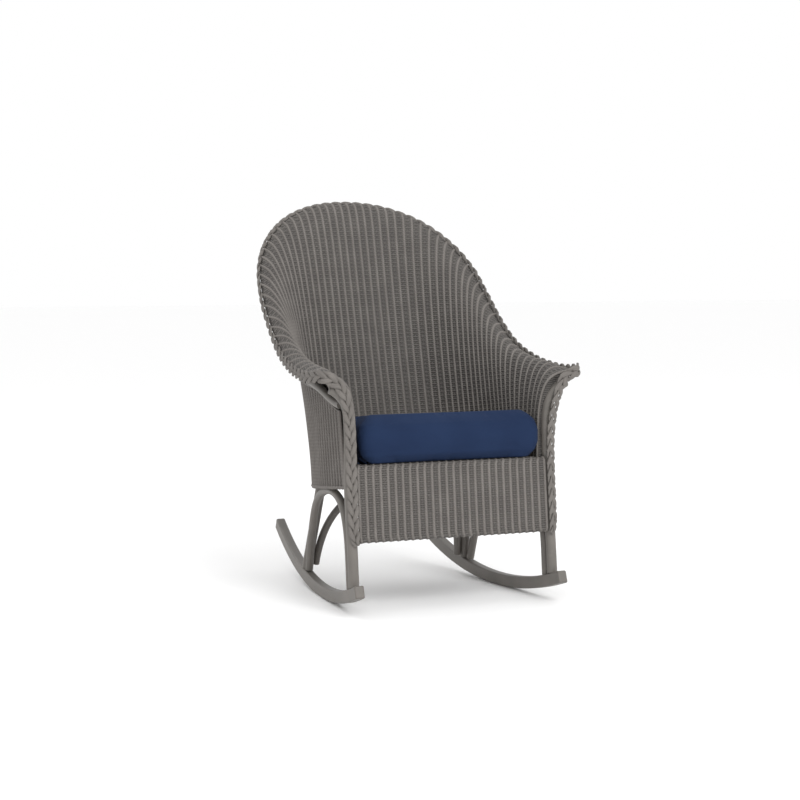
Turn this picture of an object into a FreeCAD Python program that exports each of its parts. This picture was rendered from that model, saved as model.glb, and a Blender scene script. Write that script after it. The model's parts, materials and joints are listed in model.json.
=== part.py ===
import FreeCAD, Part
import math
import os

# Outdoor rocking chair, millimetres. Modelled with its legs upright, front posts on y = 0 and the
# front facing -Y, then leaned back on its runners by rest_lean, as it stands when nobody is in it.

# runners
rocker_radius = 1000.0
rocker_centre_y = 163.0
rocker_height = 32.0
rocker_width = 25.0
rocker_front_y = -54.0
rocker_rear_y = 728.0
rocker_edge_round = 4.0
rest_lean = 6.4

# legs and rods
post_half_spacing = 275.0
post_diameter = 26.5
rear_leg_diameter = 26.5
rear_half_spacing = 236.0
rear_foot_y = 452.0
rear_foot_height = 62.0
rear_leg_top_x = 212.0
rear_leg_top_y = 350.0
rear_leg_top_height = 330.0
arch_diameter = 21.0
rear_arch_diameter = 20.0
arch_crown_height = 286.0
rear_arch_crown_height = 278.0
rail_diameter = 20.0
arm_rail_diameter = 20.0
rim_pole_diameter = 12.0
rail_seat = 1.8
fit_gap = 0.3
pole_clearance = 3.3

# woven sheets
sheet_thickness = 6.0
shell_base_height = 342.0
shell_half_width = 252.0
shell_depth = 482.0
rim_half_width = 356.0
rim_depth = 642.0
arm_rim_height = 575.0
back_rim_height = 1094.0
skirt_half_width = 281.0
skirt_depth = 487.0
skirt_bottom_height = 298.0
apron_bottom_height = 156.0
apron_top_height = 347.0
apron_y = -13.8
apron_thickness = 6.0

# braid
braid_width = 30.0
braid_thickness = 9.0
braid_drop = 10.0
braid_gap = 1.9

# cushion
cushion_width = 492.0
cushion_rear_width = 470.0
cushion_depth = 512.0
cushion_thickness = 118.0
cushion_front_y = -44.0
cushion_corner = 72.0

# seat deck and screws
slat_width = 46.0
slat_thickness = 9.0
slat_count = 7
slat_first_y = 44.0
slat_last_y = 424.0
slat_end_clearance = 2.5
frame_clearance = 1.5
seat_frame_height = 330.0
screw_diameter = 5.0
screw_head_diameter = 10.0
screw_head_height = 3.0
screw_sink = 1.0
screw_length = 52.0

toe_in = math.atan2(post_half_spacing - rear_half_spacing, rear_foot_y)


def point(x, y, z):
    return FreeCAD.Vector(x, y, z)


def mirrored(shape):
    return shape.mirror(point(0, 0, 0), point(1, 0, 0))


def curve_through(points):
    curve = Part.BSplineCurve()
    curve.interpolate(points)
    return curve


def rod(points, diameter):
    curve = curve_through(points)
    start = curve.value(curve.FirstParameter)
    direction = curve.tangent(curve.FirstParameter)[0]
    ring = Part.Wire([Part.makeCircle(diameter / 2, start, direction)])
    path = Part.Wire([curve.toShape()])
    return path.makePipeShell([ring], True, False)


def straight_rod(a, b, diameter):
    axis = b.sub(a)
    return Part.makeCylinder(diameter / 2, axis.Length, a, axis)


def above_runner():
    """Room inside the rockers' top face: feet are cut to it."""
    radius = rocker_radius - rocker_height - fit_gap
    length = rim_half_width * 4
    axis_start = point(-length / 2, rocker_centre_y, rocker_radius)
    return Part.makeCylinder(radius, length, axis_start, point(1, 0, 0))


def on_runner(shape):
    return shape.common(above_runner())


def runner_angle(y):
    return math.asin((y - rocker_centre_y) / rocker_radius)


def arc_point(radius, angle, x=0.0):
    return point(x, rocker_centre_y + radius * math.sin(angle), rocker_radius - radius * math.cos(angle))


def runner():
    first, last = runner_angle(rocker_front_y), runner_angle(rocker_rear_y)
    middle = (first + last) / 2
    inner = rocker_radius - rocker_height
    bottom = Part.Arc(*[arc_point(rocker_radius, a) for a in (first, middle, last)]).toShape()
    top = Part.Arc(*[arc_point(inner, a) for a in (last, middle, first)]).toShape()
    rear = Part.makeLine(arc_point(rocker_radius, last), arc_point(inner, last))
    front = Part.makeLine(arc_point(inner, first), arc_point(rocker_radius, first))
    face = Part.Face(Part.Wire([bottom, rear, top, front]))
    band = face.extrude(point(post_half_spacing * 4, 0, 0))
    band.translate(point(-post_half_spacing * 2, 0, 0))
    slab = Part.makeBox(rocker_width, rocker_radius * 2, rocker_radius)
    slab.translate(point(-rocker_width / 2, -rocker_radius, -rocker_height))
    slab.rotate(point(0, 0, 0), point(0, 0, 1), math.degrees(toe_in))
    slab.translate(point(post_half_spacing, 0, 0))
    bar = band.common(slab).Solids[0]
    return bar.makeFillet(rocker_edge_round, bar.Edges).Solids[0]


# The front post: how far its axis leans out towards the arm's tip, as shares of the tip's overhang, and
# its y and z as shares of the arm height.
post_lean_shares = [0.0, 0.0, 0.0, 0.0, 0.12, 0.4, 0.72]
post_y_shares = [0.0, 0.0, 0.0, -0.02, -0.034, -0.042, -0.042]
post_z_shares = [0.04, 0.3, 0.58, 0.8, 0.865, 0.91, 0.935]


def leaned_x(share):
    """Place between the post's line and the tip of the arm rim."""
    overhang = rim_half_width * rim_x_shares[-1] - post_half_spacing
    return post_half_spacing + overhang * share


def post_axis():
    triples = zip(post_lean_shares, post_y_shares, post_z_shares)
    return [point(leaned_x(x), arm_rim_height * y, arm_rim_height * z) for x, y, z in triples]


def front_post():
    return on_runner(rod(post_axis(), post_diameter))


def rear_leg_axis():
    foot = point(rear_half_spacing, rear_foot_y, rear_foot_height)
    top = point(rear_leg_top_x, rear_leg_top_y, rear_leg_top_height)
    return foot, top


def rear_leg():
    foot, top = rear_leg_axis()
    leg = on_runner(straight_rod(foot, top, rear_leg_diameter))
    under_frame = Part.makeBox(rim_half_width * 2, rim_depth, seat_frame_height - rail_diameter / 2 - fit_gap)
    return leg.common(under_frame).Solids[0]


# Side arch: y as shares of the rear foot's distance, z as shares of the crown height.
arch_y_shares = [0.064, 0.064, 0.082, 0.15, 0.27, 0.44, 0.6, 0.71, 0.79, 0.86, 0.925]
arch_z_shares = [0.14, 0.42, 0.66, 0.86, 0.965, 1.0, 0.955, 0.855, 0.69, 0.48, 0.25]


def side_arch():
    spread = post_half_spacing - rear_half_spacing
    points = []
    for ys, zs in zip(arch_y_shares, arch_z_shares):
        points.append(point(post_half_spacing - spread * ys, rear_foot_y * ys, arch_crown_height * zs))
    return on_runner(rod(points, arch_diameter))


# Rear arch, half of it: x as shares of the rear spacing, z as shares of its crown height.
rear_arch_x_shares = [0.892, 0.845, 0.72, 0.5, 0.26]
rear_arch_z_shares = [0.3, 0.55, 0.78, 0.94, 0.99]


def rear_arch():
    slope = (rear_leg_top_y - rear_foot_y) / (rear_leg_top_height - rear_foot_height)
    half = []
    for xs, zs in zip(rear_arch_x_shares, rear_arch_z_shares):
        z = rear_arch_crown_height * zs
        half.append(point(rear_half_spacing * xs, rear_foot_y + slope * (z - rear_foot_height), z))
    crown_y = rear_foot_y + slope * (rear_arch_crown_height - rear_foot_height)
    crown = [point(0, crown_y, rear_arch_crown_height)]
    other = [point(-p.x, p.y, p.z) for p in reversed(half)]
    return rod(half + crown + other, rear_arch_diameter)


# The woven shell, half of it from the middle of the back to the arm front. Base places are shares of
# shell_half_width and shell_depth, rim places of rim_half_width, rim_depth and the rise of the rim.
base_x_shares = [0.0, 0.36, 0.64, 0.81, 0.91, 0.96, 0.984, 0.99, 0.994, 0.998, 0.994, 0.988]
base_y_shares = [1.0, 0.982, 0.93, 0.825, 0.7, 0.58, 0.48, 0.365, 0.255, 0.155, 0.08, 0.021]
rim_x_shares = [0.0, 0.295, 0.555, 0.755, 0.878, 0.925, 0.94, 0.957, 0.98, 1.0, 1.0, 0.965]
rim_y_shares = [1.0, 0.98, 0.929, 0.859, 0.776, 0.682, 0.572, 0.446, 0.296, 0.147, 0.03, -0.056]
rim_z_shares = [1.0, 0.975, 0.897, 0.77, 0.617, 0.45, 0.295, 0.163, 0.074, 0.022, 0.0, -0.004]
# How the profile leaves the base (lean and rise) and how it rolls outwards at the rim, shares of roll_reach.
lower_lean_shares = [0.21, 0.21, 0.2, 0.18, 0.16, 0.13, 0.1, 0.06, 0.03, 0.0, -0.03, -0.06]
lower_rise_shares = [0.76, 0.76, 0.74, 0.7, 0.66, 0.64, 0.68, 0.74, 0.8, 0.84, 0.9, 0.95]
roll_out_shares = [0.0, 0.1, 0.3, 0.6, 0.85, 1.0, 1.1, 1.2, 1.25, 1.28, 1.36, 1.47]
roll_back_shares = [0.8, 0.8, 0.72, 0.55, 0.4, 0.35, 0.3, 0.2, 0.1, 0.0, -0.1, -0.15]
roll_up_shares = [-0.1, -0.05, 0.05, 0.1, 0.1, 0.05, -0.3, -0.7, -1.1, -1.3, -1.0, 0.26]
roll_reach = 50.0
profile_steps = 10
pole_place_index = 8


def bezier(a, b, c, d, t):
    s = 1 - t
    return a * (s ** 3) + b * (3 * s * s * t) + c * (3 * s * t * t) + d * (t ** 3)


def shell_profile(i):
    rise = back_rim_height - arm_rim_height
    base = point(shell_half_width * base_x_shares[i], shell_depth * base_y_shares[i], shell_base_height)
    rim = point(
        rim_half_width * rim_x_shares[i],
        rim_depth * rim_y_shares[i],
        arm_rim_height + rise * rim_z_shares[i],
    )
    lift = (rim.z - base.z) * lower_rise_shares[i]
    lower = base.add(point(0, lift * lower_lean_shares[i], lift))
    roll = point(roll_out_shares[i], roll_back_shares[i], roll_up_shares[i]) * roll_reach
    upper = rim.sub(roll)
    return [bezier(base, lower, upper, rim, k / profile_steps) for k in range(profile_steps + 1)]


def full_grid(half):
    """Rows from the left arm front, round the back, to the right arm front."""
    left = [[point(-p.x, p.y, p.z) for p in row] for row in reversed(half[1:])]
    return left + half


def grid_normals(grid):
    rows, columns = len(grid), len(grid[0])
    normals = []
    for i in range(rows):
        line = []
        for j in range(columns):
            along = grid[min(i + 1, rows - 1)][j].sub(grid[max(i - 1, 0)][j])
            up = grid[i][min(j + 1, columns - 1)].sub(grid[i][max(j - 1, 0)])
            line.append(up.cross(along).normalize())
        normals.append(line)
    return normals


def with_midrows(grid):
    """Doubles the number of rows with the four-point rule, so that the plan stays smooth."""
    rows = [grid[0]]
    last = len(grid) - 1
    for i in range(last):
        before, after = grid[max(i - 1, 0)], grid[min(i + 2, last)]
        middle = []
        for p, q, r, t in zip(before, grid[i], grid[i + 1], after):
            middle.append((q + r) * (9 / 16) - (p + t) * (1 / 16))
        rows += [middle, grid[i + 1]]
    return rows


def smooth_surface(grid):
    """Cubic surface that follows the grid of points as its poles."""
    rows, columns = len(grid), len(grid[0])
    surface = Part.BSplineSurface()
    knots, mults = [], []
    for count in (rows, columns):
        spans = count - 3
        knots.append([k / spans for k in range(spans + 1)])
        mults.append([4] + [1] * (spans - 1) + [4])
    surface.buildFromPolesMultsKnots(grid, mults[0], mults[1], knots[0], knots[1], False, False, 3, 3)
    return surface


def sheet_between(inner, outer):
    """Closed solid between two grids of points of the same size."""
    near, far = smooth_surface(inner), smooth_surface(outer)
    faces = [near.toShape(), far.toShape()]
    for side in (0.0, 1.0):
        faces.append(Part.makeRuledSurface(near.uIso(side).toShape(), far.uIso(side).toShape()))
        faces.append(Part.makeRuledSurface(near.vIso(side).toShape(), far.vIso(side).toShape()))
    shell = Part.makeShell(faces)
    shell.sewShape()
    solid = Part.Solid(shell)
    if solid.Volume < 0:
        solid.reverse()
    return solid


def shell_grid():
    return with_midrows(full_grid([shell_profile(i) for i in range(len(base_x_shares))]))


def offset_grid(grid, distance):
    normals = grid_normals(grid)
    return [[p.add(n * distance) for p, n in zip(row, line)] for row, line in zip(grid, normals)]


def back_shell():
    grid = shell_grid()
    return sheet_between(grid, offset_grid(grid, sheet_thickness))


# The outer skirt: bottom places as shares of its half width and depth, top heights as shares of
# skirt_top_height. Rear stations lie against the shell, side stations end under the arm rail.
skirt_x_shares = [0.0, 0.335, 0.59, 0.76, 0.865, 0.92, 0.95, 0.98, 0.993, 1.0, 1.0, 1.0]
skirt_y_shares = [1.0, 0.982, 0.93, 0.835, 0.715, 0.6, 0.485, 0.375, 0.265, 0.17, 0.095, 0.03]
skirt_top_shares = [1.0, 1.0, 0.995, 0.985, 0.97, 0.955, 0.935, 0.915, 0.885, 0.855, 0.83, 0.81]
skirt_top_height = 600.0
skirt_standoff = 16.0
skirt_standoff_shares = [0.2, 0.2, 0.22, 0.3, 0.45, 0.65, 0.85]
skirt_rows = 6
slot_station_index = 7
slot_flare = 6.0


def shell_outer_at(outer, normals, row, height):
    """Point of the shell's outer face in one row at a height, and its outward direction."""
    line = outer[row]
    for j in range(len(line) - 1):
        if line[j].z <= height <= line[j + 1].z:
            f = (height - line[j].z) / (line[j + 1].z - line[j].z)
            return line[j] * (1 - f) + line[j + 1] * f, normals[row][j]
    return point(line[0].x, line[0].y, height), normals[row][0]


def skirt_grid():
    grid = shell_grid()
    outer, normals = offset_grid(grid, sheet_thickness), grid_normals(grid)
    middle = (len(base_x_shares) - 1) * 2
    half = []
    for i, (xs, ys, ts) in enumerate(zip(skirt_x_shares, skirt_y_shares, skirt_top_shares)):
        rise = skirt_top_height * ts - skirt_bottom_height
        row = []
        for k in range(skirt_rows):
            t = k / (skirt_rows - 1)
            z = skirt_bottom_height + rise * t
            if i < slot_station_index:
                on_shell, away = shell_outer_at(outer, normals, middle + 2 * i, z)
                standoff = skirt_standoff * (skirt_standoff_shares[i] * (1 - t) + skirt_standoff_shares[0] * t)
                row.append(on_shell.add(point(away.x, away.y, 0).normalize() * standoff))
            else:
                row.append(point(skirt_half_width * xs + slot_flare * t, skirt_depth * ys, z))
        half.append(row)
    return with_midrows(full_grid(half))


def outer_skirt():
    grid = skirt_grid()
    return sheet_between(grid, offset_grid(grid, sheet_thickness))


def apron():
    """Front panel between the posts, with its rounded top edge left to the rail behind it."""
    width = (post_half_spacing - post_diameter / 2 - fit_gap) * 2
    panel = Part.makeBox(width, apron_thickness, apron_top_height - apron_bottom_height)
    panel.translate(point(-width / 2, apron_y - apron_thickness, apron_bottom_height))
    return panel


def cross_rail(height):
    reach = post_half_spacing - post_diameter / 2 - fit_gap
    y = apron_y + fit_gap + rail_diameter / 2
    return straight_rod(point(-reach, y, height), point(reach, y, height), rail_diameter)


def seat_frame():
    """Bent hoop inside the foot of the skirt: from one front post round the back to the other."""
    inside = offset_grid(skirt_grid(), -(rail_diameter / 2 + frame_clearance))
    return rod([point(row[0].x, row[0].y, seat_frame_height) for row in inside[::2]], rail_diameter)


def shell_half_at(y):
    """Half the room between the shell's sides at its base."""
    pairs = list(zip(base_x_shares, base_y_shares))
    for (x0, y0), (x1, y1) in zip(pairs, pairs[1:]):
        near, far = shell_depth * y1, shell_depth * y0
        if near <= y <= far:
            return shell_half_width * (x1 + (x0 - x1) * (y - near) / (far - near))
    return shell_half_width * base_x_shares[-1]


def seat_slat(index):
    """Flat slats from side to side, resting on the seat frame."""
    y = slat_first_y + (slat_last_y - slat_first_y) * index / (slat_count - 1)
    reach = shell_half_at(y + slat_width / 2) - slat_end_clearance
    slat = Part.makeBox(reach * 2, slat_width, slat_thickness)
    slat.translate(point(-reach, y - slat_width / 2, seat_frame_height + rail_diameter / 2 + fit_gap))
    return slat


# Arm rail, the bent tube that the slot under the arm shows: y as shares of the skirt's depth.
rail_y_shares = [-0.004, 0.1, 0.21, 0.33, 0.44]


def skirt_top_at(y_share):
    pairs = list(zip(skirt_y_shares, skirt_top_shares))
    for (y0, t0), (y1, t1) in zip(pairs, pairs[1:]):
        if y1 <= y_share <= y0:
            return skirt_top_height * (t1 + (t0 - t1) * (y_share - y1) / (y0 - y1))
    return skirt_top_height * pairs[-1][1]


def arm_rail():
    over_skirt = skirt_half_width + slot_flare + sheet_thickness / 2
    points = []
    for ys in rail_y_shares:
        z = skirt_top_at(ys) + arm_rail_diameter / 2 + rail_seat
        points.append(point(over_skirt, skirt_depth * ys, z))
    return rod(points, arm_rail_diameter)


def rim_pole():
    """Bent pole in the hollow of the roll, from arm to arm over the back."""
    grid = shell_grid()
    inside = offset_grid(grid, sheet_thickness + rim_pole_diameter / 2 + pole_clearance)
    return rod([row[pole_place_index] for row in inside[1:-1]], rim_pole_diameter)


# Braid: the rim part follows the rim, the post part goes down the front of the post to its tuck.
# Places past the last rim station: x as shares of the tip overhang, y and z of the arm height.
post_braid_lean_shares = [0.52, 0.24, 0.12, 0.08, 0.06, 0.06, 0.04, -0.1]
post_braid_y_shares = [-0.084, -0.081, -0.062, -0.045, -0.035, -0.034, -0.034, -0.036]
post_braid_z_shares = [0.95, 0.88, 0.8, 0.7, 0.58, 0.42, 0.3, 0.262]
braid_turn_share = 0.4
post_braid_start_share = 0.35
tip_turn_share = 1.3
tip_standoff_shares = {10: 1.3, 11: 2.2}
oval_steps = 12
rim_ring_count = 44
post_ring_count = 16


def braid_places():
    """Middle line of the braid and its facing, from the middle of the back to the tuck."""
    places, facings = [], []
    rise = back_rim_height - arm_rim_height
    away = braid_thickness / 2 + braid_gap
    for i in range(len(rim_x_shares)):
        out, rear = roll_out_shares[i], roll_back_shares[i]
        if i == len(rim_x_shares) - 1:
            rear = -out / tip_turn_share
        face = point(out, rear, 0).normalize()
        z = arm_rim_height + rise * rim_z_shares[i] - braid_drop * (1 + max(rim_z_shares[i], 0)) / 2
        rim = point(rim_half_width * rim_x_shares[i], rim_depth * rim_y_shares[i], z)
        places.append(rim.add(face * (away * tip_standoff_shares.get(i, 1))))
        facings.append(face)
    for xs, ys, zs in zip(post_braid_lean_shares, post_braid_y_shares, post_braid_z_shares):
        places.append(point(leaned_x(xs), arm_rim_height * ys, arm_rim_height * zs))
        facings.append(point(braid_turn_share, -1.0, 0).normalize())
    return places, facings


def strip_section(centre, face, along):
    """Flattened oval ring across the braid."""
    across = along.cross(face).normalize()
    out = across.cross(along).normalize()
    corners = []
    for k in range(oval_steps):
        a = 2 * math.pi * k / oval_steps
        w = across * (math.cos(a) * braid_width / 2)
        corners.append(centre.add(w).add(out * (math.sin(a) * braid_thickness / 2)))
    ring = Part.BSplineCurve()
    ring.interpolate(corners, PeriodicFlag=True)
    return Part.Wire([ring.toShape()])


def between(rows, t):
    """Value at a fractional place in a list of points, smooth through them."""
    i = min(int(t), len(rows) - 2)
    f = t - i
    p, q = rows[max(i - 1, 0)], rows[i]
    r, s = rows[i + 1], rows[min(i + 2, len(rows) - 1)]
    a = (r - p) * f
    b = (p * 2 - q * 5 + r * 4 - s) * (f * f)
    c = (q * 3 - p - r * 3 + s) * (f * f * f)
    return q + (a + b + c) * (1 / 2)


def strip(places, facings, first, last, count):
    """Braid strip between two fractional places of its lists."""
    rings = []
    step = 1 / 50
    for k in range(count + 1):
        t = first + (last - first) * k / count
        ahead, behind = min(t + step, len(places) - 1), max(t - step, 0)
        along = between(places, ahead).sub(between(places, behind)).normalize()
        rings.append(strip_section(between(places, t), between(facings, t), along))
    return Part.makeLoft(rings, True, False)


def rim_braid():
    places, facings = braid_places()
    last = len(rim_x_shares) - 1
    left_places = [point(-p.x, p.y, p.z) for p in reversed(places[1:last + 1])]
    left_facings = [point(-f.x, f.y, f.z) for f in reversed(facings[1:last + 1])]
    return strip(left_places + places[:last + 1], left_facings + facings[:last + 1], 0, 2 * last, rim_ring_count)


def post_braid():
    places, facings = braid_places()
    last = len(rim_x_shares) - 1
    return strip(places, facings, last + post_braid_start_share, len(places) - 1, post_ring_count)


def cushion_section(height_share, inset_share):
    """One level of the cushion: straight sides with round corners, drawn in by inset_share."""
    inset = cushion_thickness * inset_share
    half = cushion_width / 2 - inset
    rear_half = cushion_rear_width / 2 - inset
    front, rear = cushion_front_y + inset, cushion_front_y + cushion_depth - inset
    seat_top = seat_frame_height + rail_diameter / 2 + fit_gap + slat_thickness
    z = seat_top + fit_gap + cushion_thickness * height_share
    r = cushion_corner - inset * corner_follow_share
    back_r = r * back_corner_share
    lines = []
    corners = [(half, front, -1, r), (rear_half, rear, 1, back_r)]
    corners += [(-rear_half, rear, 1, back_r), (-half, front, -1, r)]
    points = []
    for x, y, side, radius in corners:
        sx = 1 if x > 0 else -1
        on_side = point(x, y - side * radius, z)
        on_end = point(x - sx * radius, y, z)
        bend = math.sqrt(1 / 2)
        middle = point(x - sx * radius * (1 - bend), y - side * radius * (1 - bend), z)
        order = (on_end, middle, on_side) if (sx * side) < 0 else (on_side, middle, on_end)
        points.append(order)
    for k, (a, m, b) in enumerate(points):
        lines.append(Part.Arc(a, m, b).toShape())
        following = points[(k + 1) % len(points)][0]
        lines.append(Part.makeLine(b, following))
    return Part.Wire(lines)


# Levels of the cushion from underside to crown, shares of its thickness.
level_height_shares = [0.0, 0.12, 0.32, 0.6, 0.82, 0.94]
level_inset_shares = [0.26, 0.09, 0.02, 0.0, 0.07, 0.2]
corner_follow_share = 0.6
back_corner_share = 3.1
crown_levels_shares = [0.98, 1.0]
crown_inset_shares = [0.36, 0.75]


def cushion():
    heights = level_height_shares + crown_levels_shares
    insets = level_inset_shares + crown_inset_shares
    sections = [cushion_section(h, i) for h, i in zip(heights, insets)]
    return Part.makeLoft(sections, True, False)


def screw_at(x, y_angle):
    """Screw driven up through the runner into a foot, its head flush with the underside."""
    centre = point(x, rocker_centre_y, rocker_radius)
    turn = runner_angle(y_angle)
    out = point(0, math.sin(turn), -math.cos(turn))
    head_start = centre.add(out * (rocker_radius - screw_sink - screw_head_height))
    head = Part.makeCylinder(screw_head_diameter / 2, screw_head_height, head_start, out)
    shank_start = centre.add(out * (rocker_radius - screw_sink - screw_head_height - screw_length))
    shank = Part.makeCylinder(screw_diameter / 2, screw_length, shank_start, out)
    return head.fuse(shank).removeSplitter()


def screw_holes(y_list):
    holes = None
    for x, y in y_list:
        centre = point(x, rocker_centre_y, rocker_radius)
        turn = runner_angle(y)
        out = point(0, math.sin(turn), -math.cos(turn))
        depth = screw_sink + screw_head_height + fit_gap
        start = centre.add(out * (rocker_radius - depth))
        bore = Part.makeCylinder(screw_head_diameter / 2 + fit_gap, depth * 2, start, out)
        low = centre.add(out * (rocker_radius - depth - screw_length - fit_gap))
        shaft = Part.makeCylinder(screw_diameter / 2 + fit_gap, screw_length + depth, low, out)
        both = bore.fuse(shaft)
        holes = both if holes is None else holes.fuse(both)
    return holes




def lean_back(shape):
    """Leans the chair back on its runners and puts the middle of its footprint on the origin."""
    shape = shape.copy()
    shape.rotate(point(0, rocker_centre_y, rocker_radius), point(1, 0, 0), -rest_lean)
    return shape


def build_pieces():
    feet = [(post_half_spacing, 0.0), (rear_half_spacing, rear_foot_y)]
    holes = screw_holes(feet)
    pieces = {}
    arch, leg, post = side_arch(), rear_leg(), front_post()
    sided = {
        "runner": runner().cut(holes),
        "front_post": post.cut(holes),
        "rear_leg": leg.cut(holes),
        "side_arch": arch,
        "arm_rail": arm_rail(),
        "post_braid": post_braid(),
        "front_runner_screw": screw_at(*feet[0]),
        "rear_runner_screw": screw_at(*feet[1]),
    }
    for name, shape in sided.items():
        pieces[name + "_right"] = shape
        pieces[name + "_left"] = mirrored(shape)
    pieces["rear_arch"] = rear_arch()
    pieces["seat_frame"] = seat_frame()
    pieces["front_top_rail"] = cross_rail(apron_top_height - rail_diameter / 2)
    pieces["front_bottom_rail"] = cross_rail(apron_bottom_height + rail_diameter / 2)
    pieces["rim_pole"] = rim_pole()
    pieces["woven_shell"] = back_shell()
    pieces["woven_skirt"] = outer_skirt()
    pieces["woven_apron"] = apron()
    pieces["rim_braid"] = rim_braid()
    pieces["seat_cushion"] = cushion()
    for k in range(slat_count):
        pieces["seat_slat_%d" % (k + 1)] = seat_slat(k)
    return pieces


def save_all():
    os.makedirs("parts", exist_ok=True)
    leaned = {name: lean_back(shape) for name, shape in build_pieces().items()}
    front = min(shape.optimalBoundingBox().YMin for shape in leaned.values())
    rear = max(shape.optimalBoundingBox().YMax for shape in leaned.values())
    for name, shape in leaned.items():
        shape.translate(point(0, -(front + rear) / 2, 0))
        shape.exportStep("parts/" + name + ".step")


save_all()
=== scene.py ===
import json
import math
import bmesh
import bpy
import numpy as np
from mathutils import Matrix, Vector


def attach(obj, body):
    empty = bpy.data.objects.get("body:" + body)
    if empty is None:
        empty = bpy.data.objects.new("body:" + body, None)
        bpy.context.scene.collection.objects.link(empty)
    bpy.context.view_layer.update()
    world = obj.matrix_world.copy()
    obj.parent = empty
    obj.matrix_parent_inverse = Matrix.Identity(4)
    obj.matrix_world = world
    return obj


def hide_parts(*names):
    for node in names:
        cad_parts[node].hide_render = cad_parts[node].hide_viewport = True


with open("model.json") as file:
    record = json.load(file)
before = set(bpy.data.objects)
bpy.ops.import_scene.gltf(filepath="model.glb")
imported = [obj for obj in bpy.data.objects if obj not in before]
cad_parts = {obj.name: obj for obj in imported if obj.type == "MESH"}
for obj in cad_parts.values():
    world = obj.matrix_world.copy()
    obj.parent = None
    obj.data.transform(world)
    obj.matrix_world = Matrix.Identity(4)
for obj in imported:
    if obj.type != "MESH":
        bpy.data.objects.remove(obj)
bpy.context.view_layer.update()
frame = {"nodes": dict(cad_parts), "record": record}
print("frame loaded", len(frame["nodes"]), "nodes")

# the chair is laid out upright, in metres, then leaned back on its runners
stance = dict(lean=math.radians(6.4), contactY=0.163, radius=1.0, shiftY=-0.24935)

shell = dict(
    halfWidth=0.252, depth=0.482, rimHalf=0.356, rimDepth=0.642, armRim=0.575, backRim=1.094,
    baseZ=0.342, roll=0.05, thick=0.006, steps=10,
    baseX=[0.0, 0.36, 0.64, 0.81, 0.91, 0.96, 0.984, 0.99, 0.994, 0.998, 0.994, 0.988],
    baseY=[1.0, 0.982, 0.93, 0.825, 0.7, 0.58, 0.48, 0.365, 0.255, 0.155, 0.08, 0.021],
    rimX=[0.0, 0.295, 0.555, 0.755, 0.878, 0.925, 0.94, 0.957, 0.98, 1.0, 1.0, 0.965],
    rimY=[1.0, 0.98, 0.929, 0.859, 0.776, 0.682, 0.572, 0.446, 0.296, 0.147, 0.03, -0.056],
    rimZ=[1.0, 0.975, 0.897, 0.77, 0.617, 0.45, 0.295, 0.163, 0.074, 0.022, 0.0, -0.004],
    lean=[0.21, 0.21, 0.2, 0.18, 0.16, 0.13, 0.1, 0.06, 0.03, 0.0, -0.03, -0.06],
    rise=[0.76, 0.76, 0.74, 0.7, 0.66, 0.64, 0.68, 0.74, 0.8, 0.84, 0.9, 0.95],
    rollOut=[0.0, 0.1, 0.3, 0.6, 0.85, 1.0, 1.1, 1.2, 1.25, 1.28, 1.36, 1.47],
    rollBack=[0.8, 0.8, 0.72, 0.55, 0.4, 0.35, 0.3, 0.2, 0.1, 0.0, -0.1, -0.15],
    rollUp=[-0.1, -0.05, 0.05, 0.1, 0.1, 0.05, -0.3, -0.7, -1.1, -1.3, -1.0, 0.26],
)
skirt = dict(
    halfWidth=0.281, depth=0.487, bottomZ=0.298, topZ=0.6, standoff=0.016, flare=0.006, rows=6,
    x=[0.0, 0.335, 0.59, 0.76, 0.865, 0.92, 0.95, 0.98, 0.993, 1.0, 1.0, 1.0],
    y=[1.0, 0.982, 0.93, 0.835, 0.715, 0.6, 0.485, 0.375, 0.265, 0.17, 0.095, 0.03],
    top=[1.0, 1.0, 0.995, 0.985, 0.97, 0.955, 0.935, 0.915, 0.885, 0.855, 0.83, 0.81],
    off=[0.2, 0.2, 0.22, 0.3, 0.45, 0.65, 0.85], firstFree=7,
)


def toRow(points):
    p = np.asarray(points, float)
    y, z = p[..., 1] - stance["contactY"], p[..., 2] - stance["radius"]
    c, s = math.cos(stance["lean"]), math.sin(stance["lean"])
    leanedY = stance["contactY"] + stance["shiftY"] + y * c + z * s
    return np.stack([p[..., 0], leanedY, stance["radius"] - y * s + z * c], -1)


def unit(v):
    return v / np.maximum(np.linalg.norm(v, axis=-1, keepdims=True), 1e-12)


def bezierRow(a, b, c, d, t):
    t = np.asarray(t)[:, None]
    return a * (1 - t) ** 3 + 3 * b * t * (1 - t) ** 2 + 3 * c * t * t * (1 - t) + d * t ** 3


def mirrorRows(half):
    left = half[:0:-1] * np.array([-1.0, 1.0, 1.0])
    return np.concatenate([left, half])


def doubleRows(grid):
    last = len(grid) - 1
    rows = [grid[0]]
    for i in range(last):
        before, after = grid[max(i - 1, 0)], grid[min(i + 2, last)]
        rows.append((grid[i] + grid[i + 1]) * 9 / 16 - (before + after) / 16)
        rows.append(grid[i + 1])
    return np.array(rows)


def gridNormals(grid):
    rows, columns = grid.shape[:2]
    i, j = np.arange(rows), np.arange(columns)
    along = grid[np.minimum(i + 1, rows - 1)] - grid[np.maximum(i - 1, 0)]
    up = grid[:, np.minimum(j + 1, columns - 1)] - grid[:, np.maximum(j - 1, 0)]
    return unit(np.cross(up, along))


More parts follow.
